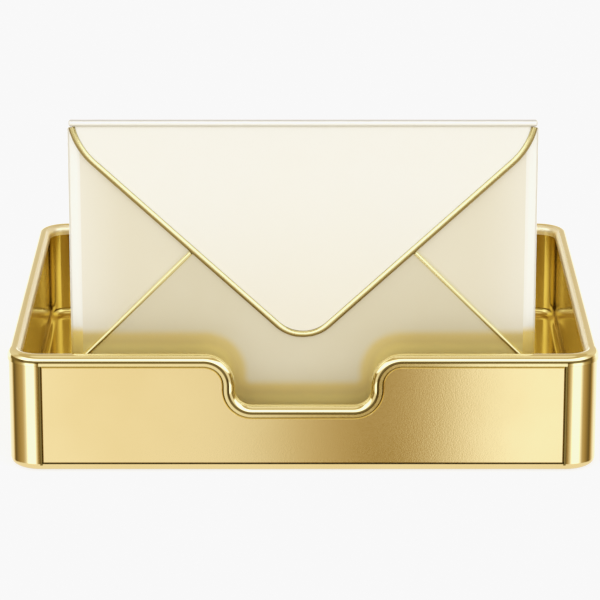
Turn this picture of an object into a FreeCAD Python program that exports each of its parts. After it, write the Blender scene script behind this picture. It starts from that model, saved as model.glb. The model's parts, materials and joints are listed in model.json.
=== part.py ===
import FreeCAD, Part
import math
import os
import Sketcher

# Letter tray with an upright, envelope-shaped letter pocket.
# Millimetres. +Z up, front towards -Y, X across. The origin is on the table under the tray's centre.

document = FreeCAD.newDocument("LetterTray")

# ---------------------------------------------------------------- driving sizes

SIZES = {
    # tray
    "tray_width": 318.0,
    "tray_depth": 264.0,
    "tray_height": 66.0,
    "corner_radius": 18.0,
    "rim_diameter": 7.6,
    "rim_overhang": 0.6,
    "rim_flank": 2.0,
    "shell_sheet": 2.2,
    "shell_bottom_radius": 4.0,
    "shell_flange": 14.0,
    "pan_sheet": 1.5,
    "pan_floor_height": 10.3,
    "pan_floor_fillet": 4.0,
    # finger scoop in the front wall
    "scoop_half_width": 40.2,
    "scoop_drop": 28.6,
    "scoop_corner_radius": 13.0,
    # facing plate on the front wall
    "panel_inset": 18.6,
    "panel_bottom_height": 4.8,
    "panel_recess": 1.2,
    "panel_proud": 0.3,
    "panel_bevel": 1.0,
    "panel_seam": 0.2,
    # base
    "foot_reveal": 0.8,
    "foot_inset": 34.0,
    "foot_length": 24.0,
    "foot_width": 10.0,
    "foot_corner": 3.0,
    "base_sheet": 1.5,
    "base_clearance": 0.3,
    # rail that holds the pocket upright
    "rail_length": 200.0,
    "rail_wall": 2.0,
    "rail_base": 2.6,
    "rail_height": 13.0,
    "pad_thickness": 1.0,
    "pad_clearance": 0.2,
    "slot_clearance": 0.35,
    "seat_gap": 0.1,
    # envelope-shaped pocket
    "envelope_width": 250.0,
    "envelope_height": 176.0,
    "envelope_thickness": 8.0,
    "envelope_setback": 29.5,
    "envelope_corner": 1.0,
    "envelope_sheet": 1.0,
    "edge_round": 5.0,
    "edge_fall": 1.7,
    "edge_shoulder_radius": 8.0,
    "edge_radius": 2.0,
    "edge_lip": 1.5,
    "side_flap_inner": 45.0,
    "side_flap_low": 12.0,
    "side_flap_inner_low": 70.0,
    "side_flap_inner_high": 120.0,
    "side_flap_corner": 6.0,
    "pocket_shoulder": 36.9,
    "seam_angle": 45.1,
    "pocket_height": 126.0,
    "pocket_corner": 8.0,
    "seam_bead_radius": 1.15,
    "bead_gap": 0.4,
    # top flap and its hinge
    "bead_radius": 1.8,
    "flap_clearance": 0.3,
    "roll_set": 1.0,
    "flap_width": 247.6,
    "flap_depth": 118.8,
    "flap_angle": 42.7,
    "flap_tip_radius": 20.5,
    "flap_tip_flat": 0.4,
    "flap_corner_inset": 0.8,
    "flap_shoulder_angle": 76.3,
    "flap_shoulder_radius": 38.0,
    "hinge_drop": 4.6,
    "hinge_rod_radius": 1.0,
    "hinge_fit": 0.05,
    "hinge_end_gap": 1.5,
    "knuckle_width": 16.0,
    "knuckle_gap": 0.3,
    "notch_clearance": 0.8,
}

KNUCKLES = 2

sheet = document.addObject("Spreadsheet::Sheet", "Sizes")
for row, (name, value) in enumerate(SIZES.items(), start=1):
    sheet.set("A%d" % row, name)
    sheet.set("B%d" % row, str(value))
    sheet.setAlias("B%d" % row, name)
document.recompute()


class Size:
    """A length that carries its number and its formula over the sheet's cells."""

    def __init__(self, value, text=None):
        self.value = float(value)
        self.text = text if text is not None else repr(float(value))

    def __add__(self, other):
        other = as_size(other)
        return Size(self.value + other.value, "(%s + %s)" % (self.text, other.text))

    def __sub__(self, other):
        other = as_size(other)
        return Size(self.value - other.value, "(%s - %s)" % (self.text, other.text))

    def __mul__(self, other):
        other = as_size(other)
        return Size(self.value * other.value, "(%s * %s)" % (self.text, other.text))

    def __truediv__(self, other):
        other = as_size(other)
        return Size(self.value / other.value, "(%s / %s)" % (self.text, other.text))

    def __neg__(self):
        return Size(-self.value, "(0 - %s)" % self.text)

    def __rmul__(self, other):
        return as_size(other) * self

    def __rsub__(self, other):
        return as_size(other) - self

    def __radd__(self, other):
        return as_size(other) + self


def as_size(number):
    """Turn a plain number into a Size; a Size passes through."""
    return number if isinstance(number, Size) else Size(number)


def cell(name):
    """The Size held by the sheet's cell of that name."""
    return Size(sheet.get(name), "Sizes." + name)


def root(size):
    """Square root of a Size."""
    return Size(math.sqrt(size.value), "sqrt(%s)" % size.text)


def tangent(angle):
    """Tangent of a Size that holds degrees."""
    return Size(math.tan(math.radians(angle.value)), "tan(%s * 1 deg)" % angle.text)


def bind(feature, property_name, size):
    """Set a property to a Size and keep it tied to the sheet."""
    feature.setExpression(property_name, size.text)


# ---------------------------------------------------------------- modelling helpers

def new_body(label):
    """An empty body whose label names its file."""
    body = document.addObject("PartDesign::Body", label)
    body.Label = label
    body.AllowCompound = True
    return body


def place(body, x, y, z):
    """Put a body at a place worked out from the sheet."""
    body.Placement = FreeCAD.Placement(FreeCAD.Vector(x.value, y.value, z.value), FreeCAD.Rotation())
    bind(body, "Placement.Base.x", x)
    bind(body, "Placement.Base.y", y)
    bind(body, "Placement.Base.z", z)


def origin_feature(body, role):
    """One of the body's own base planes or axes."""
    for feature in body.Origin.OriginFeatures:
        if feature.Role == role:
            return feature
    raise RuntimeError("no %s in %s" % (role, body.Label))


def new_sketch(body, name, plane, offset=0.0):
    """A sketch on one of the body's base planes, moved along the plane's normal by offset.

    The normals are +Z for XY_Plane, -Y for XZ_Plane and +X for YZ_Plane.
    """
    offset = as_size(offset)
    sketch = body.newObject("Sketcher::SketchObject", body.Label + "_" + name)
    sketch.AttachmentSupport = [(origin_feature(body, plane), "")]
    sketch.MapMode = "FlatFace"
    sketch.AttachmentOffset = FreeCAD.Placement(FreeCAD.Vector(0, 0, offset.value), FreeCAD.Rotation())
    bind(sketch, "AttachmentOffset.Base.z", offset)
    return sketch


def hold(sketch, kind, items, size):
    """Add a dimension to a sketch and tie it to the sheet."""
    index = sketch.addConstraint(Sketcher.Constraint(kind, *items, size.value))
    bind(sketch, "Constraints[%d]" % index, size)


def hold_point(sketch, item, position, x, y):
    """Fix a point of the sketch at (x, y)."""
    if abs(x.value) < 1e-9:
        sketch.addConstraint(Sketcher.Constraint("PointOnObject", item, position, -2))
    else:
        hold(sketch, "DistanceX", (item, position), x)
    if abs(y.value) < 1e-9:
        sketch.addConstraint(Sketcher.Constraint("PointOnObject", item, position, -1))
    else:
        hold(sketch, "DistanceY", (item, position), y)


def outline(sketch, corners, closed=True):
    """Draw straight runs through the corners (x, y, radius), with tangent arcs where a radius is given."""
    corners = [(as_size(x), as_size(y), None if radius is None else as_size(radius))
               for x, y, radius in corners]
    count = len(corners)
    points = [FreeCAD.Vector(x.value, y.value, 0) for x, y, radius in corners]
    leaves = []
    enters = []
    arcs = []
    for index, (x, y, radius) in enumerate(corners):
        here = points[index]
        if radius is None:
            enters.append(here)
            leaves.append(here)
            arcs.append(None)
            continue
        back = (points[index - 1] - here).normalize()
        ahead = (points[(index + 1) % count] - here).normalize()
        half_angle = back.getAngle(ahead) / 2
        reach = radius.value / math.tan(half_angle)
        start = here + back * reach
        end = here + ahead * reach
        centre = here + (back + ahead).normalize() * (radius.value / math.sin(half_angle))
        turns_left = back.cross(ahead).z < 0
        first, last = (start, end) if turns_left else (end, start)
        first_angle = math.atan2(first.y - centre.y, first.x - centre.x)
        last_angle = math.atan2(last.y - centre.y, last.x - centre.x)
        circle = Part.Circle(centre, FreeCAD.Vector(0, 0, 1), radius.value)
        arc = sketch.addGeometry(Part.ArcOfCircle(circle, first_angle, last_angle), False)
        arcs.append((arc, 1 if turns_left else 2, 2 if turns_left else 1))
        enters.append(start)
        leaves.append(end)
    marks = [sketch.addGeometry(Part.Point(point), True) for point in points]
    for index, (x, y, radius) in enumerate(corners):
        hold_point(sketch, marks[index], 1, x, y)
        if radius is not None:
            hold(sketch, "Radius", (arcs[index][0],), radius)
    for index in range(count if closed else count - 1):
        following = (index + 1) % count
        run = sketch.addGeometry(Part.LineSegment(leaves[index], enters[following]), False)
        for corner, run_end, arc_side in ((index, 1, 2), (following, 2, 1)):
            if arcs[corner] is None:
                sketch.addConstraint(Sketcher.Constraint("Coincident", run, run_end, marks[corner], 1))
            else:
                arc = arcs[corner]
                sketch.addConstraint(Sketcher.Constraint("Tangent", run, run_end, arc[0], arc[arc_side]))
                sketch.addConstraint(Sketcher.Constraint("PointOnObject", marks[corner], 1, run))


def circles(sketch, centres, radius):
    """Draw equal circles at the centres (x, y)."""
    for x, y in centres:
        x = as_size(x)
        y = as_size(y)
        circle = Part.Circle(FreeCAD.Vector(x.value, y.value, 0), FreeCAD.Vector(0, 0, 1), radius.value)
        item = sketch.addGeometry(circle, False)
        hold_point(sketch, item, 3, x, y)
        hold(sketch, "Radius", (item,), radius)


def extrude(body, kind, sketch, length, reversed_way=False, both_ways=False):
    """Pad or pocket a sketch; a pocket goes against the sketch plane's normal."""
    feature = body.newObject("PartDesign::" + kind, sketch.Name + "_" + kind.lower())
    feature.Profile = sketch
    feature.Length = length.value
    bind(feature, "Length", length)
    feature.Reversed = reversed_way
    feature.Midplane = both_ways
    before = body_volume(body, feature)
    document.recompute()
    check_change(feature, kind, before)
    return feature


def body_volume(body, feature):
    """Volume of the body before a feature."""
    base = feature.BaseFeature
    return base.Shape.Volume if base is not None else 0.0


def check_change(feature, kind, before):
    """Stop when a feature adds or removes nothing."""
    after = feature.Shape.Volume
    changed = after > before + 1e-6 if kind == "Pad" else after < before - 1e-6
    if not changed:
        raise RuntimeError("%s changes nothing" % feature.Name)


def pad(body, sketch, length, **options):
    return extrude(body, "Pad", sketch, length, **options)


def pocket(body, sketch, length, **options):
    return extrude(body, "Pocket", sketch, length, **options)


def dress(body, kind, size_name, size, wanted):
    """Fillet or chamfer the edges of the body for which wanted(edge) is true."""
    base = body.Tip
    names = ["Edge%d" % number for number, edge in enumerate(base.Shape.Edges, start=1) if wanted(edge)]
    if not names:
        raise RuntimeError("no edges to dress in %s" % body.Label)
    feature = body.newObject("PartDesign::" + kind, body.Label + "_" + kind.lower())
    feature.Base = (base, names)
    setattr(feature, size_name, size.value)
    bind(feature, size_name, size)
    document.recompute()
    if "Invalid" in feature.State:
        raise RuntimeError("%s cannot be made" % feature.Name)
    return feature


def fillet(body, radius, wanted):
    return dress(body, "Fillet", "Radius", radius, wanted)


def chamfer(body, size, wanted):
    return dress(body, "Chamfer", "Size", size, wanted)


def sweep(body, section, path, transition="Transformed"):
    """Carry a section sketch along a path sketch."""
    feature = body.newObject("PartDesign::AdditivePipe", section.Name + "_pipe")
    feature.Profile = section
    feature.Spine = (path, ["Edge%d" % (number + 1) for number in range(len(path.Shape.Edges))])
    feature.Transition = transition
    document.recompute()
    return feature


def section_at_start(body, name, path):
    """A sketch square to the first edge of a path."""
    sketch = body.newObject("Sketcher::SketchObject", body.Label + "_" + name)
    sketch.AttachmentSupport = [(path, "Edge1")]
    sketch.MapMode = "NormalToEdge"
    sketch.MapPathParameter = 0.0
    document.recompute()
    return sketch


def repeat_along_x(body, originals, length, count):
    """Repeat features along X over a length."""
    feature = body.newObject("PartDesign::LinearPattern", body.Label + "_pattern")
    feature.Originals = originals
    feature.Direction = (origin_feature(body, "X_Axis"), [""])
    feature.Length = length.value
    bind(feature, "Length", length)
    feature.Occurrences = count
    body.Tip = feature
    document.recompute()
    return feature


def near(value, target):
    return abs(value - target.value) < 1e-4


def lies_at_z(edge, z):
    """True when all of an edge lies at the height z."""
    box = edge.BoundBox
    return near(box.ZMin, z) and near(box.ZMax, z)


def lies_at_y(edge, y):
    """True when all of an edge lies at the depth y."""
    box = edge.BoundBox
    return near(box.YMin, y) and near(box.YMax, y)


def is_end_circle(edge, x):
    """True for an edge that lies in the plane at x, on either side of the middle."""
    box = edge.BoundBox
    return near(abs(box.XMin), x) and near(abs(box.XMax), x) and box.XLength < 1e-6


# ---------------------------------------------------------------- shared places, tray

half_width = cell("tray_width") / 2
half_depth = cell("tray_depth") / 2
rim_radius = cell("rim_diameter") / 2
rim_seat = cell("rim_flank")
rim_height = cell("tray_height") - rim_radius
wall_top = rim_height - rim_seat
shell_outside = cell("rim_overhang")
shell_inside = shell_outside + cell("shell_sheet")
pan_inside = cell("rim_diameter") - cell("rim_overhang")
pan_outside = pan_inside - cell("pan_sheet")
pan_underside = cell("pan_floor_height") - cell("pan_sheet")
flange_top = cell("foot_reveal") + cell("shell_sheet")
foot_x = half_width - cell("foot_inset")
foot_y = half_depth - cell("foot_inset")
FOOT_PLACES = {
    "front_left": (-foot_x, -foot_y),
    "front_right": (foot_x, -foot_y),
    "rear_left": (-foot_x, foot_y),
    "rear_right": (foot_x, foot_y),
}

# the scoop's sides and floor, measured on the walls' cut edge under the rim
scoop_side = cell("scoop_half_width") + rim_seat
scoop_floor = wall_top - cell("scoop_drop")
scoop_upper_radius = cell("scoop_corner_radius") - rim_seat
scoop_lower_radius = cell("scoop_corner_radius") + rim_seat


def rounded_plan(body, name, height, inset):
    """The tray's plan outline at a height, drawn in by an inset."""
    x = half_width - inset
    y = half_depth - inset
    radius = cell("corner_radius") - inset
    sketch = new_sketch(body, name, "XY_Plane", height)
    outline(sketch, [(-x, -y, radius), (x, -y, radius), (x, y, radius), (-x, y, radius)])
    return sketch


def cut_scoop(body, depth):
    """Cut the scoop through a front wall and round its four corners."""
    sketch = new_sketch(body, "scoop", "XZ_Plane", half_depth)
    above = wall_top + rim_radius
    outline(sketch, [(-scoop_side, scoop_floor, None), (scoop_side, scoop_floor, None),
                     (scoop_side, above, None), (-scoop_side, above, None)])
    pocket(body, sketch, depth)
    for height, radius in ((wall_top, scoop_upper_radius), (scoop_floor, scoop_lower_radius)):
        fillet(body, radius, lambda edge: lies_at_z(edge, height) and near(abs(edge.BoundBox.XMin), scoop_side)
               and edge.BoundBox.XLength < 1e-6 and edge.BoundBox.YMax < 0)


def make_outer_shell():
    """Pressed outer wall with a rolled foot, an inward flange and a seat for the facing plate."""
    body = new_body("outer_shell")
    bottom = cell("foot_reveal")
    pad(body, rounded_plan(body, "outside", bottom, shell_outside), wall_top - bottom)
    pocket(body, rounded_plan(body, "inside", wall_top, shell_inside), wall_top - flange_top)
    chamfer(body, cell("shell_bottom_radius") - cell("shell_sheet"), lambda edge: lies_at_z(edge, flange_top))
    fillet(body, cell("shell_bottom_radius"), lambda edge: lies_at_z(edge, bottom))
    flange_inside = shell_inside + cell("shell_flange")
    pocket(body, rounded_plan(body, "opening", flange_top, flange_inside), cell("shell_sheet"))
    face = new_sketch(body, "panel_seat", "XZ_Plane", half_depth - shell_outside)
    x = half_width - cell("panel_inset")
    low = cell("panel_bottom_height")
    high = wall_top + rim_radius
    outline(face, [(-x, low, None), (x, low, None), (x, high, None), (-x, high, None)])
    pocket(body, face, cell("panel_recess"))
    cut_scoop(body, shell_inside + cell("pan_sheet") / 2)


def make_inner_pan():
    """Pressed pan: the tray's floor and its inner walls."""
    body = new_body("inner_pan")
    floor = cell("pan_floor_height")
    pad(body, rounded_plan(body, "outside", pan_underside, pan_outside), wall_top - pan_underside)
    pocket(body, rounded_plan(body, "inside", wall_top, pan_inside), wall_top - floor)
    fillet(body, cell("pan_floor_fillet"), lambda edge: lies_at_z(edge, floor))
    chamfer(body, cell("pan_floor_fillet"), lambda edge: lies_at_z(edge, pan_underside))
    cut_scoop(body, pan_inside + cell("corner_radius") / 2)


def make_rim_bead():
    """Half-round rim moulding that caps both walls and follows the scoop."""
    body = new_body("rim_bead")
    x = half_width - rim_radius
    y = half_depth - rim_radius
    radius = cell("corner_radius") - rim_radius
    side = cell("scoop_half_width")
    bend = cell("scoop_corner_radius")
    start = side + bend + rim_radius
    low = rim_height - cell("scoop_drop")

    around = new_sketch(body, "around", "XY_Plane", rim_height)
    outline(around, [(start, -y, None), (x, -y, radius), (x, y, radius), (-x, y, radius),
                     (-x, -y, radius), (-start, -y, None)], closed=False)
    dip = new_sketch(body, "dip", "XZ_Plane", y)
    outline(dip, [(start, rim_height, None), (side, rim_height, bend), (side, low, bend),
                  (-side, low, bend), (-side, rim_height, bend), (-start, rim_height, None)], closed=False)
    section = new_sketch(body, "section", "YZ_Plane", start)
    rim_section(section, -y)
    document.recompute()
    sweep(body, section, around)
    sweep(body, section, dip)


def rim_section(sketch, y):
    """A half circle on two short flanks, centred at (y, rim height)."""
    front = y - rim_radius
    back = y + rim_radius
    crest = Part.Circle(FreeCAD.Vector(y.value, rim_height.value, 0), FreeCAD.Vector(0, 0, 1), rim_radius.value)
    arc = sketch.addGeometry(Part.ArcOfCircle(crest, 0, math.pi), False)
    corners = [(back, rim_height), (back, wall_top), (front, wall_top), (front, rim_height)]
    corners = [FreeCAD.Vector(across.value, up.value, 0) for across, up in corners]
    runs = [sketch.addGeometry(Part.LineSegment(start, end), False) for start, end in zip(corners, corners[1:])]
    for first, first_end, second, second_end in ((arc, 1, runs[0], 1), (runs[0], 2, runs[1], 1),
                                                 (runs[1], 2, runs[2], 1), (runs[2], 2, arc, 2)):
        sketch.addConstraint(Sketcher.Constraint("Coincident", first, first_end, second, second_end))
    sketch.addConstraint(Sketcher.Constraint("Vertical", runs[0]))
    sketch.addConstraint(Sketcher.Constraint("Horizontal", runs[1]))
    sketch.addConstraint(Sketcher.Constraint("Vertical", runs[2]))
    hold_point(sketch, arc, 3, y, rim_height)
    hold(sketch, "Radius", (arc,), rim_radius)
    hold(sketch, "DistanceY", (runs[0], 2), wall_top)
    sketch.addConstraint(Sketcher.Constraint("Horizontal", arc, 1, arc, 3))


def make_front_panel():
    """Facing plate that lies in the front wall's seat, with the scoop cut out and its edges bevelled."""
    body = new_body("front_panel")
    seam = cell("panel_seam")
    seat_depth = half_depth - shell_outside - cell("panel_recess")
    thickness = cell("panel_recess") + cell("panel_proud")
    x = half_width - cell("panel_inset") - seam
    low = cell("panel_bottom_height") + seam
    high = wall_top - seam
    side = scoop_side + seam
    dip = scoop_floor - seam
    upper = scoop_upper_radius - seam
    lower = scoop_lower_radius + seam
    face = new_sketch(body, "face", "XZ_Plane", seat_depth)
    outline(face, [(-x, low, None), (x, low, None), (x, high, None), (side, high, upper),
                   (side, dip, lower), (-side, dip, lower), (-side, high, upper), (-x, high, None)])
    pad(body, face, thickness)
    chamfer(body, cell("panel_bevel"), lambda edge: lies_at_y(edge, -(seat_depth + thickness)))


def make_base_plate():
    """Closing plate that rests on the shell's flange."""
    body = new_body("base_plate")
    inset = shell_inside + cell("shell_bottom_radius") - cell("shell_sheet") + cell("base_clearance")
    pad(body, rounded_plan(body, "plan", flange_top, inset), cell("base_sheet"))


def make_foot(place_name):
    """Rubber foot under the base plate."""
    body = new_body("foot_" + place_name)
    half_length = cell("foot_length") / 2
    half_breadth = cell("foot_width") / 2
    plan = new_sketch(body, "plan", "XY_Plane")
    outline(plan, [(-half_length, -half_breadth, None), (half_length, -half_breadth, None),
                   (half_length, half_breadth, None), (-half_length, half_breadth, None)])
    pad(body, plan, flange_top)
    chamfer(body, cell("foot_corner"), lambda edge: edge.BoundBox.ZLength > flange_top.value / 2)
    x, y = FOOT_PLACES[place_name]
    place(body, x, y, as_size(0))


# ---------------------------------------------------------------- shared places, pocket

pocket_y = cell("envelope_setback") - half_depth
pocket_z = cell("pan_floor_height") + cell("rail_base") + cell("pad_thickness") + cell("seat_gap")
pocket_half = cell("envelope_width") / 2
flap_half = cell("flap_width") / 2
pocket_front = cell("envelope_thickness") / 2
sheet_gauge = cell("envelope_sheet")
edge_round = cell("edge_round")
lip_end = edge_round + cell("edge_lip")
panel_edge = pocket_half - lip_end
slot_front = pocket_front + sheet_gauge + cell("slot_clearance")
slot_back = pocket_front + cell("slot_clearance")
roll_plane = pocket_front + sheet_gauge + cell("flap_clearance") + cell("bead_radius")
flap_plane = roll_plane - cell("roll_set")
roll_z = cell("envelope_height") - cell("bead_radius")
barrel_radius = cell("hinge_rod_radius") + cell("hinge_fit") + sheet_gauge
hinge_y = pocket_front - sheet_gauge + barrel_radius
hinge_z = roll_z - cell("hinge_drop")
back_top = hinge_z - barrel_radius - cell("bead_gap")
hinge_half = panel_edge - cell("hinge_end_gap")
frame_top = hinge_z - cell("bead_gap")


def make_envelope_rail():
    """Slotted rail on the tray's floor in which the pocket stands."""
    body = new_body("envelope_rail")
    front = -(slot_front + cell("rail_wall"))
    back = slot_back + cell("rail_wall")
    top = cell("rail_base") + cell("rail_height")
    section = new_sketch(body, "section", "YZ_Plane")
    floor = cell("rail_base")
    outline(section, [(front, 0, None), (back, 0, None), (back, top, None), (slot_back, top, None),
                      (slot_back, floor, None), (-slot_front, floor, None), (-slot_front, top, None),
                      (front, top, None)])
    pad(body, section, cell("rail_length"), both_ways=True)
    place(body, as_size(0), pocket_y, cell("pan_floor_height"))


def make_rail_pad():
    """Felt strip on the slot's floor."""
    body = new_body("rail_pad")
    inset = cell("pad_clearance")
    x = cell("rail_length") / 2 - inset
    plan = new_sketch(body, "plan", "XY_Plane", cell("rail_base"))
    outline(plan, [(-x, inset - slot_front, None), (x, inset - slot_front, None),
                   (x, slot_back - inset, None), (-x, slot_back - inset, None)])
    pad(body, plan, cell("pad_thickness"))
    place(body, as_size(0), pocket_y, cell("pan_floor_height"))


def place_pocket_piece(body):
    """Stand a piece of the pocket in the rail."""
    place(body, as_size(0), pocket_y, pocket_z)


def make_edge_frame():
    """Channel bent round the pocket's two sides and its bottom, sloped and rounded towards its edge."""
    body = new_body("edge_frame")
    depth = pocket_front
    side_depth = depth - cell("edge_fall")
    shoulder = cell("edge_shoulder_radius")
    radius = cell("edge_radius")
    shoulder_x = edge_round - pocket_half
    inside_x = sheet_gauge - pocket_half
    inner_depth = depth - sheet_gauge
    inner_side_depth = side_depth - sheet_gauge
    inner_radius = radius - sheet_gauge
    path = new_sketch(body, "path", "XZ_Plane")
    outline(path, [(-pocket_half, frame_top, None), (-pocket_half, 0, None), (pocket_half, 0, None),
                   (pocket_half, frame_top, None)], closed=False)
    section = new_sketch(body, "section", "XY_Plane", frame_top)
    outline(section, [(-panel_edge, -depth, None), (shoulder_x, -depth, shoulder),
                      (-pocket_half, -side_depth, radius), (-pocket_half, side_depth, radius),
                      (shoulder_x, depth, shoulder), (-panel_edge, depth, None),
                      (-panel_edge, inner_depth, None), (shoulder_x, inner_depth, None),
                      (inside_x, inner_side_depth, inner_radius), (inside_x, -inner_side_depth, inner_radius),
                      (shoulder_x, -inner_depth, None), (-panel_edge, -inner_depth, None)])
    document.recompute()
    sweep(body, section, path, transition="Right corner")
    place_pocket_piece(body)


def make_back_panel():
    """Back sheet between the channel's rear lips, with the hinge knuckles rolled from its top edge."""
    body = new_body("back_panel")
    face = new_sketch(body, "face", "XZ_Plane", sheet_gauge - pocket_front)
    outline(face, [(-panel_edge, lip_end, None), (panel_edge, lip_end, None),
                   (panel_edge, back_top, None), (-panel_edge, back_top, None)])
    pad(body, face, sheet_gauge, reversed_way=True)
    width = cell("knuckle_width")
    tab = new_sketch(body, "tab", "YZ_Plane", -hinge_half)
    outline(tab, [(pocket_front - sheet_gauge, back_top - sheet_gauge, None),
                  (pocket_front, back_top - sheet_gauge, None), (pocket_front, hinge_z, None),
                  (pocket_front - sheet_gauge, hinge_z, None)])
    tab_pad = pad(body, tab, width)
    barrel = new_sketch(body, "barrel", "YZ_Plane", -hinge_half)
    circles(barrel, [(hinge_y, hinge_z)], barrel_radius)
    barrel_pad = pad(body, barrel, width)
    repeat_along_x(body, [tab_pad, barrel_pad], hinge_half * 2 - width, KNUCKLES)
    cut_rod_bore(body)
    place_pocket_piece(body)


def cut_rod_bore(body):
    """Bore the hinge barrels for the rod, with a running fit."""
    bore = new_sketch(body, "bore", "YZ_Plane")
    circles(bore, [(hinge_y, hinge_z)], cell("hinge_rod_radius") + cell("hinge_fit"))
    pocket(body, bore, cell("envelope_width"), both_ways=True)


def make_side_flap(label, side):
    """Side flap, flush with the channel's front lip; side is -1 for the left and 1 for the right."""
    body = new_body(label)
    face = new_sketch(body, "face", "XZ_Plane", pocket_front - sheet_gauge)
    outer = panel_edge * side
    inner = cell("side_flap_inner") * side
    corner = cell("side_flap_corner")
    corners = [(outer, cell("side_flap_low"), None), (inner, cell("side_flap_inner_low"), corner),
               (inner, cell("side_flap_inner_high"), corner), (outer, frame_top, None)]
    outline(face, corners if side < 0 else corners[::-1])
    pad(body, face, sheet_gauge)
    place_pocket_piece(body)


# height of the seam beads' centre line over the pocket's bottom, at a distance from its side edge
seam_slope = tangent(cell("seam_angle"))
seam_stretch = root(seam_slope * seam_slope + 1)


def make_bottom_flap():
    """Bottom flap, laid over the side flaps and the channel's front lip."""
    body = new_body("bottom_flap")
    face = new_sketch(body, "face", "XZ_Plane", pocket_front)
    side = pocket_half - edge_round
    low = pocket_front
    high = cell("pocket_height")
    drop = cell("seam_bead_radius") * seam_stretch
    shoulder = cell("pocket_shoulder") + seam_slope * edge_round - drop
    top_side = side - (high - shoulder) / seam_slope
    corner = cell("envelope_corner")
    rounding = cell("pocket_corner")
    outline(face, [(-side, low, corner), (side, low, corner), (side, shoulder, None),
                   (top_side, high, rounding), (-top_side, high, rounding), (-side, shoulder, None)])
    pad(body, face, sheet_gauge)
    place_pocket_piece(body)


def flap_line(shift):
    """Corners of the flap's edge line, left to right, drawn in towards the flap by a shift.

    Heights fall from the roll's axis: a steep shoulder at each top corner, then a straight slope to the tip.
    """
    slope = tangent(cell("flap_angle"))
    steep = tangent(cell("flap_shoulder_angle"))
    slope_stretch = root(slope * slope + 1)
    steep_stretch = root(steep * steep + 1)
    tip_radius = cell("flap_tip_radius")
    apex = cell("envelope_height") - cell("flap_depth")
    vertex_z = apex - tip_radius * (slope_stretch - 1) + shift * slope_stretch
    top_x = flap_half - cell("flap_corner_inset") - shift * steep_stretch / steep
    # the steep line z = roll_z - steep * (top_x - x) meets the slope z = vertex_z + slope * x
    knee_x = (vertex_z - roll_z + steep * top_x) / (steep - slope)
    knee_z = vertex_z + slope * knee_x
    return top_x, knee_x, knee_z, vertex_z


def make_flap_bead():
    """Bead along the flap's edge, flat behind; one half is swept from the tip and mirrored."""
    body = new_body("flap_bead")
    top_x, knee_x, knee_z, vertex_z = flap_line(as_size(0))
    slope = tangent(cell("flap_angle"))
    steep = tangent(cell("flap_shoulder_angle"))
    # the bead's end is square to its path, so its inner edge stands above its centre
    gap = cell("bead_radius") + cell("bead_radius") / root(steep * steep + 1) + cell("seat_gap")
    start_x = top_x - gap / steep
    start_z = roll_z - gap
    # the tip's rounding starts a little way off the middle, so that the sweep starts on a straight run
    tip_rise = (root(slope * slope + 1) - 1) / slope
    turn_x = cell("flap_tip_radius") * tip_rise
    turn_radius = cell("flap_tip_radius") - cell("flap_tip_flat") / tip_rise
    apex_z = cell("envelope_height") - cell("flap_depth")
    path = new_sketch(body, "path", "XZ_Plane", flap_plane)
    outline(path, [(0, apex_z, None), (turn_x, apex_z, turn_radius), (knee_x, knee_z, cell("flap_shoulder_radius")),
                   (start_x, start_z, None)], closed=False)
    section = new_sketch(body, "section", "YZ_Plane")
    bead_section(section, -flap_plane, apex_z, cell("bead_radius"), sheet_gauge / 2)
    document.recompute()
    half = sweep(body, section, path)
    mirrored = body.newObject("PartDesign::Mirrored", "flap_bead_mirrored")
    mirrored.Originals = [half]
    mirrored.MirrorPlane = (origin_feature(body, "YZ_Plane"), [""])
    body.Tip = mirrored
    document.recompute()
    place_pocket_piece(body)


def bead_section(sketch, y, z, radius, back):
    """A circle at (y, z) with a flat cut on it at the distance back behind its centre."""
    lean = math.asin(back.value / radius.value)
    circle = Part.Circle(FreeCAD.Vector(y.value, z.value, 0), FreeCAD.Vector(0, 0, 1), radius.value)
    arc = sketch.addGeometry(Part.ArcOfCircle(circle, math.pi / 2 - lean, math.pi * 1.5 + lean), False)
    rise = radius.value * math.cos(lean)
    top = FreeCAD.Vector(y.value + back.value, z.value + rise, 0)
    bottom = FreeCAD.Vector(y.value + back.value, z.value - rise, 0)
    flat = sketch.addGeometry(Part.LineSegment(bottom, top), False)
    sketch.addConstraint(Sketcher.Constraint("Coincident", arc, 2, flat, 1))
    sketch.addConstraint(Sketcher.Constraint("Coincident", arc, 1, flat, 2))
    sketch.addConstraint(Sketcher.Constraint("Vertical", flat))
    hold_point(sketch, arc, 3, y, z)
    hold(sketch, "Radius", (arc,), radius)
    hold(sketch, "DistanceX", (flat, 1), y + back)


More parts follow.
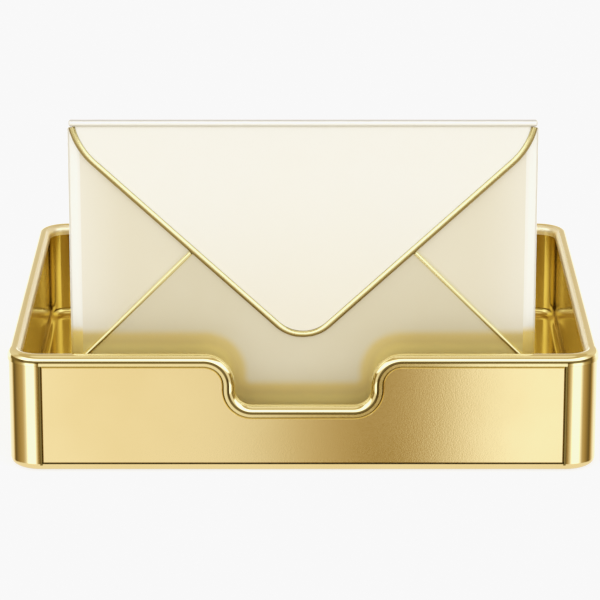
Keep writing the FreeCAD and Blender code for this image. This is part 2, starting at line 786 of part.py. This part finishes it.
def make_top_flap():
    """Top flap: plate, rolled fold, web over the mouth and hinge barrels."""
    body = new_body("top_flap")
    half_gauge = sheet_gauge / 2
    roll = new_sketch(body, "roll", "YZ_Plane")
    circles(roll, [(-roll_plane, roll_z)], cell("bead_radius"))
    pad(body, roll, cell("flap_width"), both_ways=True)
    chamfer(body, cell("bead_radius") / 3, lambda edge: is_end_circle(edge, flap_half))

    bead_seat = cell("bead_radius")
    top_x, knee_x, knee_z, vertex_z = flap_line(bead_seat)
    shoulder = cell("flap_shoulder_radius") - bead_seat
    tip = cell("flap_tip_radius") - bead_seat
    face = new_sketch(body, "face", "XZ_Plane", flap_plane - half_gauge)
    outline(face, [(-top_x, roll_z, None), (-knee_x, knee_z, shoulder), (0, vertex_z, tip),
                   (knee_x, knee_z, shoulder), (top_x, roll_z, None)])
    pad(body, face, sheet_gauge)

    run = hinge_y + roll_plane
    fall = cell("hinge_drop")
    length = root(run * run + fall * fall)
    across_y = fall / length * half_gauge
    across_z = run / length * half_gauge
    web = new_sketch(body, "web", "YZ_Plane")
    outline(web, [(-roll_plane - across_y, roll_z - across_z, None), (hinge_y - across_y, hinge_z - across_z, None),
                  (hinge_y + across_y, hinge_z + across_z, None), (across_y - roll_plane, roll_z + across_z, None)])
    pad(body, web, hinge_half * 2, both_ways=True)
    barrel = new_sketch(body, "barrel", "YZ_Plane")
    circles(barrel, [(hinge_y, hinge_z)], barrel_radius)
    pad(body, barrel, hinge_half * 2, both_ways=True)

    width = cell("knuckle_width")
    gap = cell("knuckle_gap")
    notch = new_sketch(body, "notch", "YZ_Plane", -hinge_half - gap)
    circles(notch, [(hinge_y, hinge_z)], barrel_radius + cell("notch_clearance"))
    first_notch = pocket(body, notch, width + gap * 2, reversed_way=True)
    repeat_along_x(body, [first_notch], hinge_half * 2 - width, KNUCKLES)
    cut_rod_bore(body)
    place_pocket_piece(body)


def make_seam_bead(label, side):
    """Round bead along the bottom flap's sloping edge, from its shoulder to just short of the flap's bead."""
    body = new_body(label)
    path = new_sketch(body, "path", "XZ_Plane", pocket_front + cell("seam_bead_radius"))
    slope = tangent(cell("flap_angle"))
    top_x, knee_x, knee_z, vertex_z = flap_line(as_size(0))
    # measured from the middle, the seam is z = seam_foot - seam_slope * x and the flap's edge vertex_z + slope * x
    seam_foot = cell("pocket_shoulder") + seam_slope * pocket_half
    meet_x = (seam_foot - vertex_z) / (seam_slope + slope)
    clear = (cell("bead_radius") + cell("bead_gap")) / seam_stretch
    upper_x = meet_x + clear
    lower_x = pocket_half - edge_round - cell("bead_gap")
    outline(path, [(upper_x * side, seam_foot - seam_slope * upper_x, None),
                   (lower_x * side, seam_foot - seam_slope * lower_x, None)], closed=False)
    document.recompute()
    section = section_at_start(body, "section", path)
    circles(section, [(0, 0)], cell("seam_bead_radius"))
    document.recompute()
    sweep(body, section, path)
    place_pocket_piece(body)


def make_hinge_rod():
    """Rod on which the flap turns."""
    body = new_body("hinge_rod")
    axis = [(hinge_y, hinge_z)]
    shank = new_sketch(body, "shank", "YZ_Plane")
    circles(shank, axis, cell("hinge_rod_radius"))
    pad(body, shank, hinge_half * 2, both_ways=True)
    place_pocket_piece(body)


# ---------------------------------------------------------------- build

make_outer_shell()
make_inner_pan()
make_rim_bead()
make_front_panel()
make_base_plate()
for corner_name in FOOT_PLACES:
    make_foot(corner_name)
make_envelope_rail()
make_rail_pad()
make_edge_frame()
make_back_panel()
make_side_flap("left_side_flap", -1)
make_side_flap("right_side_flap", 1)
make_bottom_flap()
make_seam_bead("left_seam_bead", -1)
make_seam_bead("right_seam_bead", 1)
make_hinge_rod()
make_top_flap()
make_flap_bead()
document.recompute()

# ---------------------------------------------------------------- checks and files

bodies = [item for item in document.Objects if item.TypeId == "PartDesign::Body"]
for item in document.Objects:
    if "Invalid" in item.State or "Error" in item.State:
        raise RuntimeError("%s failed: %s" % (item.Name, item.State))
for body in bodies:
    if body.Shape.isNull() or not body.Shape.isValid():
        raise RuntimeError("%s has no valid shape" % body.Label)

os.makedirs("parts", exist_ok=True)
for body in bodies:
    body.Shape.exportStep("parts/%s.step" % body.Label)
    print("%-18s solids %d  volume %10.1f" % (body.Label, len(body.Shape.Solids), body.Shape.Volume))
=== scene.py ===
import json
import math

import bmesh
import bpy
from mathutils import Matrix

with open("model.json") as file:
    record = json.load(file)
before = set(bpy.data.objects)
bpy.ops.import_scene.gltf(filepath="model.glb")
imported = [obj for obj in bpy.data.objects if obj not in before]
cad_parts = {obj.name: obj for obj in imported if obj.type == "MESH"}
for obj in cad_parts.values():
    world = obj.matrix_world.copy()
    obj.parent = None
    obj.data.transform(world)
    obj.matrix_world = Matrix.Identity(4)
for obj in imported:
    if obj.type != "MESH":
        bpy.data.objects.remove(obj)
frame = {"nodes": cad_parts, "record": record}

scene = bpy.context.scene
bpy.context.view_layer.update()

# ---------------------------------------------------------------- camera

camera_data = bpy.data.cameras.new("camera")
camera_data.sensor_width = 36.0
camera_data.lens = 210.9
camera_data.clip_end = 40.0
camera = bpy.data.objects.new("camera", camera_data)
camera.location = (-0.0016, -1.912, 0.6415)
camera.rotation_euler = (math.radians(73.0), 0.0, 0.0)
scene.collection.objects.link(camera)
scene.camera = camera

# brights roll off gently to a paper white instead of burning out
PAPER_WHITE = 0.94
ROLLOFF_START = 0.78
view = scene.view_settings
view.view_transform = "Standard"
view.use_curve_mapping = True
rolloff = view.curve_mapping
rolloff.extend = "HORIZONTAL"
master = rolloff.curves[3]
master.points[1].location = (1.0, PAPER_WHITE)
master.points.new(ROLLOFF_START, ROLLOFF_START)
rolloff.update()

# ---------------------------------------------------------------- node helpers


class Graph:
    """A node tree with short calls for the nodes that the materials and the studio share."""

    def __init__(self, tree):
        self.tree = tree

    def feed(self, socket, value):
        if isinstance(value, bpy.types.NodeSocket):
            self.tree.links.new(value, socket)
        else:
            socket.default_value = value

    def node(self, kind, settings=None, **inputs):
        made = self.tree.nodes.new(kind)
        for setting, value in (settings or {}).items():
            setattr(made, setting, value)
        for name, value in inputs.items():
            self.feed(made.inputs[name.replace("_", " ")], value)
        return made

    def math(self, operation, *values):
        made = self.node("ShaderNodeMath", {"operation": operation})
        for socket, value in zip(made.inputs, values):
            self.feed(socket, value)
        return made.outputs[0]

    def vector(self, operation, *values):
        """A vector, or the number that a dot product gives."""
        made = self.node("ShaderNodeVectorMath", {"operation": operation})
        for socket, value in zip(made.inputs, values):
            self.feed(socket, value)
        return made.outputs["Value" if operation == "DOT_PRODUCT" else "Vector"]

    def rise(self, value, low, high, start=0.0, end=1.0):
        """Carry a value smoothly from start at low to end at high."""
        return self.node("ShaderNodeMapRange", {"interpolation_type": "SMOOTHSTEP"}, Value=value,
                         From_Min=low, From_Max=high, To_Min=start, To_Max=end).outputs[0]

    def fall(self, value, low, high):
        """One up to low, then smoothly down to nothing at high."""
        return self.rise(value, low, high, 1.0, 0.0)

    def mix(self, share, first, second):
        """Blend two numbers."""
        made = self.node("ShaderNodeMix")
        for index, value in ((0, share), (2, first), (3, second)):
            self.feed(made.inputs[index], value)
        return made.outputs[0]

    def blend(self, share, first, second):
        """Blend two colours."""
        made = self.node("ShaderNodeMix", {"data_type": "RGBA"})
        for index, value in ((0, share), (6, first), (7, second)):
            self.feed(made.inputs[index], value)
        return made.outputs[2]

    def sweep(self, angle, stops, reach):
        """A number that runs straight between (angle, number) stops, from minus to plus reach."""
        share = self.math("MULTIPLY_ADD", angle, 0.5 / reach, 0.5)
        made = self.node("ShaderNodeFloatCurve", Value=share)
        made.mapping.use_clip = False
        made.mapping.extend = "HORIZONTAL"
        points = made.mapping.curves[0].points
        while len(points) < len(stops):
            points.new(0.5, 0.5)
        for point, (position, number) in zip(points, stops):
            point.location = (position / reach / 2 + 0.5, number)
            point.handle_type = "VECTOR"
        made.mapping.update()
        return made.outputs[0]

    def noise(self, place, scale, detail, roughness=0.5):
        return self.node("ShaderNodeTexNoise", Vector=place, Scale=scale, Detail=detail,
                         Roughness=roughness).outputs["Fac"]

    def openness(self, reach):
        """The share of open space round a place, within reach."""
        return self.node("ShaderNodeAmbientOcclusion", {"samples": 8}, Distance=reach).outputs["AO"]


# ---------------------------------------------------------------- studio

# What the metal mirrors: strengths of light over azimuths that run from straight behind (-180) through the
# front (0) to behind (180). Vertical walls mirror the table, which is bright with darker ground beyond it.
TABLE = [(-180, 1.3), (-124, 1.1), (-112, 0.24), (-107, 0.12), (-90, 0.30), (-67, 0.52), (-58, 0.8),
         (-49, 1.6), (-22, 1.6), (-15, 0.22), (14, 0.22), (28, 1.6), (53, 1.6), (66, 0.56), (82, 0.34),
         (97, 0.14), (103, 0.18), (128, 1.2), (180, 1.3)]
# the table right in front, where the flat facing plate spreads a few degrees over its whole width
TABLE_FRONT = [(-8, 0.22), (-5.6, 1.1), (-1.4, 0.92), (-0.5, 0.77), (1.1, 0.34), (1.6, 0.33), (2.2, 0.5),
               (3.2, 1.18), (5.6, 1.22), (8, 0.22)]
FRONT_REACH = 8.0
HORIZON = [(-180, 1.35), (-125, 1.35), (-112, 0.14), (-60, 0.3), (-50, 0.9), (-25, 0.8), (28, 0.8),
           (50, 0.9), (60, 0.3), (97, 0.14), (125, 1.35), (180, 1.35)]
SOFTBOX = [(-180, 0.68), (-120, 0.8), (-100, 0.6), (-85, 0.9), (-65, 1.8), (65, 1.8), (85, 0.9),
           (100, 0.6), (120, 0.8), (180, 0.68)]
GROUND = 0.95
RIG = 0.55
CEILING = 0.85
AMBER = (1.0, 0.72, 0.30, 1.0)
WARM_WHITE = (1.0, 0.93, 0.86, 1.0)
COOL_WHITE = (1.0, 1.06, 1.2, 1.0)
FLOOR_REACH = 30.0
FLOOR_GREY = (0.35, 0.35, 0.36, 1.0)
FLOOR_GLOW = 0.76


def build_studio():
    """A world of bands by height, some with a pattern by azimuth, all in degrees."""
    world = bpy.data.worlds.new("studio")
    scene.world = world
    world.use_nodes = True
    world.node_tree.nodes.clear()
    graph = Graph(world.node_tree)
    direction = graph.node("ShaderNodeTexCoord").outputs["Generated"]
    x, y, z = graph.node("ShaderNodeSeparateXYZ", Vector=direction).outputs
    azimuth = graph.math("DEGREES", graph.math("ARCTAN2", x, graph.math("MULTIPLY", y, -1.0)))
    height = graph.math("DEGREES", graph.math("ARCSINE", z))
    table, horizon, softbox = (graph.sweep(azimuth, stops, 180.0) for stops in (TABLE, HORIZON, SOFTBOX))
    in_front = graph.math("LESS_THAN", graph.math("ABSOLUTE", azimuth), FRONT_REACH)
    table = graph.mix(in_front, table, graph.sweep(azimuth, TABLE_FRONT, FRONT_REACH))
    sky = GROUND
    for band, low, high in ((table, -30.0, -23.0), (horizon, -14.5, -12.5), (softbox, 7.0, 13.0),
                            (RIG, 42.0, 50.0), (CEILING, 66.0, 74.0)):
        sky = graph.mix(graph.rise(height, low, high), sky, band)
    # the bright sources are white, and what is dark between them is warm
    tint = graph.blend(graph.rise(sky, 0.3, 0.9), AMBER, WARM_WHITE)
    tint = graph.blend(graph.rise(sky, 0.95, 1.45), tint, COOL_WHITE)
    background = graph.node("ShaderNodeBackground", Color=tint, Strength=sky)
    graph.node("ShaderNodeOutputWorld", Surface=background.outputs[0])


def build_floor():
    """A pale floor that glows by itself, so that it stays even, and that the metal doesn't mirror."""
    mesh = bpy.data.meshes.new("floor")
    bm = bmesh.new()
    bmesh.ops.create_grid(bm, x_segments=1, y_segments=1, size=FLOOR_REACH)
    bm.to_mesh(mesh)
    bm.free()
    floor = bpy.data.objects.new("floor", mesh)
    scene.collection.objects.link(floor)
    material = bpy.data.materials.new("pale_floor")
    material.use_nodes = True
    sockets = material.node_tree.nodes["Principled BSDF"].inputs
    sockets["Base Color"].default_value = FLOOR_GREY
    sockets["Roughness"].default_value = 1.0
    sockets["Specular IOR Level"].default_value = 0.0
    sockets["Emission Color"].default_value = (1.0, 1.0, 1.0, 1.0)
    sockets["Emission Strength"].default_value = FLOOR_GLOW
    mesh.materials.append(material)
    floor.visible_glossy = False
    floor.visible_diffuse = False
    floor.visible_shadow = False


build_studio()
build_floor()

# ---------------------------------------------------------------- the rim's middle line

# the centre of the rim's bead: its height on the straight, and its dip through the scoop
RIM_HEIGHT = 0.0622
DIP_HEIGHT = 0.0336
DIP_HALF_WIDTH = 0.0402
DIP_RADIUS = 0.013


def rim_depth(graph, spread, height):
    """How far a place on the front lies below the rim's middle line.

    The place is given by its distance from the middle of the tray and by its height.
    """
    beside = graph.math("SUBTRACT", spread, DIP_HALF_WIDTH)
    below = graph.math("SUBTRACT", RIM_HEIGHT, height)
    deeper = graph.math("SUBTRACT", DIP_HEIGHT, height)

    def corner(first, second, sign):
        sides = [graph.math("MAXIMUM", graph.math("MULTIPLY_ADD", side, sign, DIP_RADIUS), 0.0)
                 for side in (first, second)]
        squares = [graph.math("MULTIPLY", side, side) for side in sides]
        return graph.math("SQRT", graph.math("ADD", *squares))

    upper = graph.math("SUBTRACT", DIP_RADIUS, corner(beside, below, -1.0))
    lower = graph.math("SUBTRACT", corner(beside, deeper, 1.0), DIP_RADIUS)
    return graph.mix(graph.math("GREATER_THAN", height, (RIM_HEIGHT + DIP_HEIGHT) / 2), lower, upper)


# ---------------------------------------------------------------- materials

CLOUDS_PER_METRE = 14.0
CLOUD_CONTRAST = (0.35, 0.65)
MOTTLE_CONTRAST = (0.3, 0.7)
SPECK_GAIN = 1.35
# how much of its length a normal has away from the middle, where a surface changes from inside to outside
INSIDE_OUT = (-0.55, -0.2)
FRONT_BLEND = 0.004
SHADOW_LINE_EDGE = 0.0002
# the rim's painted shadow line fades out between these distances from the middle, round the tray's corners
SHADOW_LINE_END = (0.148, 0.156)
# for the painted wall reflection, a tray wall is close where it leaves the first share or less of the space
# within reach open
WALL_REACH = 0.030
WALL_CLOSE = (0.90, 0.97)


class Metal:
    """A lacquered or polished metal whose tint and roughness are built up step by step.

    It starts with a clean and a duller tint in clouds, a lowest and a highest roughness, and a grain: the
    grains per metre and their depth. Every step takes on a colour somewhere and returns the metal.
    """

    def __init__(self, name, tints, roughness, grain, metallic=1.0):
        self.material = bpy.data.materials.new(name)
        self.material.use_nodes = True
        self.graph = graph = Graph(self.material.node_tree)
        self.sockets = self.material.node_tree.nodes["Principled BSDF"].inputs
        self.sockets["Metallic"].default_value = metallic
        coordinates = graph.node("ShaderNodeTexCoord").outputs
        self.place, self.normal = coordinates["Object"], coordinates["Normal"]
        self.x, self.y, self.z = graph.node("ShaderNodeSeparateXYZ", Vector=self.place).outputs
        self.spread = graph.math("ABSOLUTE", self.x)
        self.outward = 1.0
        clean, dull = ((*tint, 1.0) for tint in tints)
        grains_per_metre, depth = grain
        cloud = graph.noise(self.place, CLOUDS_PER_METRE, detail=3.0)
        speck = graph.noise(self.place, grains_per_metre, detail=2.0, roughness=0.6)
        mottle = graph.math("ADD", graph.math("MULTIPLY", cloud, 0.5), graph.math("MULTIPLY", speck, 0.5))
        self.tint = graph.blend(graph.rise(cloud, *CLOUD_CONTRAST), clean, dull)
        self.rough = graph.rise(mottle, *MOTTLE_CONTRAST, *roughness)
        graph.feed(self.sockets["Base Color"], self.tint)
        graph.feed(self.sockets["Roughness"], self.rough)
        bump = graph.node("ShaderNodeBump", Height=speck, Strength=1.0, Distance=depth)
        graph.feed(self.sockets["Normal"], bump.outputs[0])

    def paint(self, share, colour, roughness=None):
        """Take on a colour, and a roughness if one is given, where share is 1."""
        self.tint = self.graph.blend(share, self.tint, (*colour, 1.0))
        self.graph.feed(self.sockets["Base Color"], self.tint)
        if roughness is not None:
            self.rough = self.graph.mix(share, self.rough, roughness)
            self.graph.feed(self.sockets["Roughness"], self.rough)
        return self

    def inside(self, colour, roughness):
        """Painted highlight where the surface faces the middle of the object, with a roughness of its own
        there. A rim shadow line then keeps to the other side.
        """
        graph = self.graph
        away = graph.vector("NORMALIZE", graph.vector("MULTIPLY", self.place, (1.0, 1.0, 0.0)))
        self.outward = graph.rise(graph.vector("DOT_PRODUCT", away, self.normal), *INSIDE_OUT)
        return self.paint(graph.math("SUBTRACT", 1.0, self.outward), colour, roughness)

    def front(self, colour, roughness, depth):
        """Painted light in front of a depth along Y, with a roughness of its own there."""
        return self.paint(self.graph.fall(self.y, depth, depth + FRONT_BLEND), colour, roughness)

    def below(self, colour, low, high):
        """Painted shade up to the height low, and gone at high."""
        return self.paint(self.graph.fall(self.z, low, high), colour)

    def lit_flanks(self, colour, near, far):
        """Painted highlight towards both sides, between two distances from the middle."""
        return self.paint(self.graph.rise(self.spread, near, far), colour)

    def facing(self, colour, way, start, full):
        """Painted shade where the surface turns a given way: from start to full of its normal's length along
        it.
        """
        along = self.graph.vector("DOT_PRODUCT", self.normal, way)
        return self.paint(self.graph.rise(along, start, full), colour)

    def shade_hollows(self, colour, reach, closed, opened):
        """Painted shade in tight places: fully where the open share within reach is closed, and gone where it
        is opened.
        """
        return self.paint(self.graph.fall(self.graph.openness(reach), closed, opened), colour)

    def strips(self, colour, low, high):
        """Painted shadow in a box on each side, given by two corners whose first number is the distance from
        the middle.
        """
        share = 1.0
        for value, least, most in zip((self.spread, self.y, self.z), low, high):
            share = self.graph.math("MULTIPLY", share, self.graph.math("GREATER_THAN", value, least))
            share = self.graph.math("MULTIPLY", share, self.graph.math("LESS_THAN", value, most))
        return self.paint(share, colour)

    def rim_shadow_line(self, colour, upper, lower):
        """A painted shadow line along the rim's outside up to its corners, between two depths below its
        middle line.
        """
        graph = self.graph
        # the rear of the rim doesn't dip, so it counts as a metre further aside
        aside = graph.math("ADD", self.spread, graph.math("GREATER_THAN", self.y, 0.0))
        depth = rim_depth(graph, aside, self.z)
        share = graph.math("MULTIPLY", graph.rise(depth, upper - SHADOW_LINE_EDGE, upper + SHADOW_LINE_EDGE),
                           graph.fall(depth, lower - SHADOW_LINE_EDGE, lower + SHADOW_LINE_EDGE))
        for limit in (graph.fall(self.spread, *SHADOW_LINE_END), self.outward):
            share = graph.math("MULTIPLY", share, limit)
        return self.paint(share, colour)

    def rim_reflection(self, *bands):
        """Painted golden reflection and shade of the tray's wall, just above the rim where the wall is close:
        bands, each a colour and two clearances.
        """
        graph = self.graph
        clearance = graph.math("MULTIPLY", rim_depth(graph, self.spread, self.z), -1.0)
        close = graph.fall(graph.openness(WALL_REACH), *WALL_CLOSE)
        for colour, low, high in bands:
            self.paint(graph.math("MULTIPLY", close, graph.fall(clearance, low, high)), colour)
        return self


def plain(name, colour, roughness, grain, sheen=0.0):
    """Rubber, felt or paint, with a mottled colour and a fine texture."""
    material = bpy.data.materials.new(name)
    material.use_nodes = True
    graph = Graph(material.node_tree)
    sockets = material.node_tree.nodes["Principled BSDF"].inputs
    sockets["Roughness"].default_value = roughness
    sockets["Sheen Weight"].default_value = sheen
    place = graph.node("ShaderNodeTexCoord").outputs["Object"]
    grains_per_metre, depth = grain
    speck = graph.noise(place, grains_per_metre, detail=3.0, roughness=0.6)
    light = tuple(min(channel * SPECK_GAIN, 1.0) for channel in colour)
    graph.feed(sockets["Base Color"], graph.blend(speck, (*colour, 1.0), (*light, 1.0)))
    bump = graph.node("ShaderNodeBump", Height=speck, Strength=1.0, Distance=depth)
    graph.feed(sockets["Normal"], bump.outputs[0])
    return material


# clean and duller tints
GOLD = ((0.90, 0.735, 0.36), (0.87, 0.70, 0.33))
RIM_GOLD = ((0.93, 0.80, 0.40), (0.90, 0.76, 0.36))
DEEP_GOLD = ((0.86, 0.68, 0.24), (0.80, 0.62, 0.20))
BEAD_GOLD = ((0.86, 0.77, 0.38), (0.82, 0.72, 0.34))
CHAMPAGNE = ((0.985, 0.97, 0.84), (0.97, 0.95, 0.81))
# painted shade: the side flaps and the bottom flap are darker copies of the champagne
SHADED_CHAMPAGNE = ((0.84, 0.78, 0.57), (0.82, 0.755, 0.54))
DEEP_SHADED_CHAMPAGNE = ((0.745, 0.68, 0.47), (0.72, 0.65, 0.435))
STEEL = ((0.62, 0.60, 0.56), (0.52, 0.50, 0.47))

# single tints: painted shadow, painted seam shade and a painted highlight
SHADOW_OLIVE = (0.20, 0.145, 0.04)
SEAM_SHADE_BROWN = (0.34, 0.28, 0.11)
INNER_HIGHLIGHT_GOLD = (0.98, 0.87, 0.56)

# roughness and grain
POLISHED = (0.05, 0.10)
MIRROR_GRAIN = (900.0, 0.3e-6)
BRUSHED_GRAIN = (900.0, 0.8e-6)
PEARL = {"roughness": (0.34, 0.46), "grain": (1300.0, 7e-6), "metallic": 0.45}

UP = (0.0, 0.0, 1.0)
DOWN = (0.0, 0.0, -1.0)
# painted shade: darker in the seams and tight corners of the brass
SEAM_SHADE = {"colour": SEAM_SHADE_BROWN, "reach": 0.0014, "closed": 0.46, "opened": 0.85}
# painted golden reflection and shade of the tray's wall on the flaps, in two bands above the rim
GOLD_WALL_REFLECTION = (((0.74, 0.58, 0.21), 0.0068, 0.0122), ((0.88, 0.71, 0.24), 0.0009, 0.0049))
# painted golden reflection of the tray's wall on the envelope's edge frame
FRAME_WALL_REFLECTION = ((0.90, 0.68, 0.18), 0.0085, 0.0135)
# painted shadow in the upright seams at both ends of the facing plate
PLATE_END_SHADOWS = ((0.1398, -0.2, 0.004), (0.1412, -0.128, 0.0605))


def make_materials():
    """Every material by name: the record's slots, and the tints of single pieces."""
    metals = {
        "polished_brass":
            Metal("polished_brass", GOLD, POLISHED, MIRROR_GRAIN)
            # painted shade in the shell's seams
            .shade_hollows(**SEAM_SHADE)
            # painted shadow in the upright seams at the facing plate's ends
            .strips(SHADOW_OLIVE, *PLATE_END_SHADOWS)
            # painted shade along the tray's bottom edge
            .below((0.64, 0.53, 0.25), 0.0008, 0.0024),
        "rim_brass":
            Metal("rim_brass", RIM_GOLD, POLISHED, MIRROR_GRAIN)
            # painted highlight: the rim's inner side paler and duller
            .inside(INNER_HIGHLIGHT_GOLD, 0.42)
            # painted shadow line under the rim's bead, along its outside
            .rim_shadow_line(SHADOW_OLIVE, -0.0009, 0.0005),
        "pan_brass":
            Metal("pan_brass", DEEP_GOLD, (0.09, 0.17), BRUSHED_GRAIN)
            # painted light: the pan's inner front wall paler, so the envelope mirrors a brighter gold
            .front((0.95, 0.80, 0.38), 0.45, -0.1235)
            # painted shade: the pan's walls darker than its floor
            .facing((0.53, 0.40, 0.10), DOWN, -0.75, -0.2),
        "satin_brass":
            Metal("satin_brass", GOLD, (0.05, 0.08), (1300.0, 4.5e-6))
            # painted shade in the facing plate's seams
            .shade_hollows(**SEAM_SHADE),
        "champagne":
            Metal("champagne", CHAMPAGNE, **PEARL)
            # painted shade: darker and warmer towards the bottom
            .below((0.93, 0.87, 0.68), 0.05, 0.165)
            # painted shade in the hollows beside the rolled fold and the beads
            .shade_hollows((0.70, 0.66, 0.52), 0.0020, 0.55, 0.92)
            # painted shade on upward faces, such as the top of the rolled fold
            .facing((0.74, 0.735, 0.69), UP, 0.50, 0.85)
            # painted shade on downward faces, such as under the rolled fold
            .facing((0.72, 0.70, 0.60), DOWN, 0.15, 0.55),
        "edge_champagne":
            Metal("edge_champagne", CHAMPAGNE, **PEARL)
            # painted golden reflection of the tray's wall above the rim
            .rim_reflection(FRAME_WALL_REFLECTION),
        "shaded_champagne":
            Metal("shaded_champagne", SHADED_CHAMPAGNE, **PEARL)
            # painted highlight: the side flaps paler towards their outer edges
            .lit_flanks((0.91, 0.86, 0.68), 0.090, 0.125)
            # painted golden reflection and shade of the tray's wall above the rim
            .rim_reflection(*GOLD_WALL_REFLECTION),
        "deep_shaded_champagne":
            Metal("deep_shaded_champagne", DEEP_SHADED_CHAMPAGNE, **PEARL)
            # painted golden reflection and shade of the tray's wall above the rim
            .rim_reflection(*GOLD_WALL_REFLECTION),
        "bead_brass":
            Metal("bead_brass", BEAD_GOLD, (0.22, 0.28), BRUSHED_GRAIN)
            # painted shade in the crease beside the bead
            .shade_hollows((0.34, 0.27, 0.10), 0.0016, 0.60, 0.92)
            # painted shade on the bead's lower side
            .facing((0.34, 0.26, 0.09), DOWN, -0.06, 0.14),
        "seam_brass": Metal("seam_brass", BEAD_GOLD, (0.26, 0.32), BRUSHED_GRAIN),
        "hinge_steel": Metal("hinge_steel", STEEL, (0.22, 0.34), (1200.0, 1e-6)),
    }
    made = {name: metal.material for name, metal in metals.items()}
    made["base_sheet"] = plain("base_sheet", (0.035, 0.033, 0.03), 0.55, (1400.0, 20e-6))
    made["foot_rubber"] = plain("foot_rubber", (0.02, 0.02, 0.02), 0.7, (1800.0, 15e-6))
    made["felt"] = plain("felt", (0.16, 0.13, 0.09), 0.95, (2200.0, 60e-6), sheen=0.4)
    return made


# pieces whose material differs from the rest of their slot: rougher seam beads, and painted shade, highlights
# and reflections on the others
TINTED = {
    "rim_bead": "rim_brass",
    "edge_frame": "edge_champagne",
    "left_seam_bead": "seam_brass",
    "right_seam_bead": "seam_brass",
    "left_side_flap": "shaded_champagne",
    "right_side_flap": "shaded_champagne",
    "bottom_flap": "deep_shaded_champagne",
}

materials = make_materials()
for subpart in frame["record"]["subparts"]:
    piece = subpart["node"]
    dressed = frame["nodes"][piece].data.materials
    dressed.clear()
    dressed.append(materials[TINTED.get(piece, subpart["material_slot"])])
